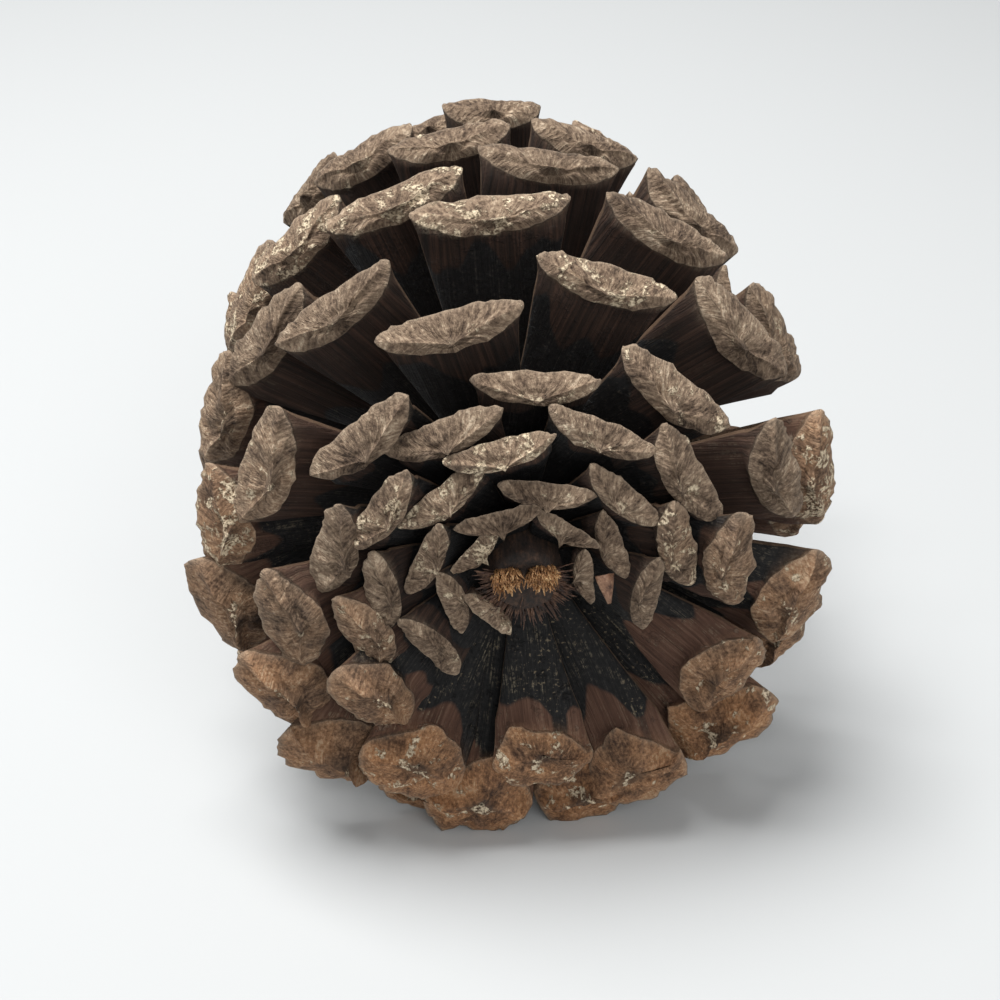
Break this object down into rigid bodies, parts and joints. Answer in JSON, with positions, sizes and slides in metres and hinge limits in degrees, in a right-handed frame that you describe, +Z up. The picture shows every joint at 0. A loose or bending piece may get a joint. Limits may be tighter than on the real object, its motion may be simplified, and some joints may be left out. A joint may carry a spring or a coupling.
{
  "type": "pine cone",
  "caption": "Large open pine cone lying on its side, with its woody seed scales spread round a slim core, a dished stalk scar at one end and an oblique base.",
  "frame": {"origin": "centre of the cone's footprint box, on the surface that it lies on", "axes": "+Z up, +Y along the cone from the stalk scar towards its tip, which dips about three degrees, +X to the right as seen from the stalk end"},
  "size_m": [0.1282, 0.139, 0.1204],
  "materials": {
    "scale_wood": "rough dry cone scale wood, grey-brown tips over dark red-brown blades"
  },
  "bodies": {
    "root": {"cone": "scale_wood"}
  },
  "joints": []
}
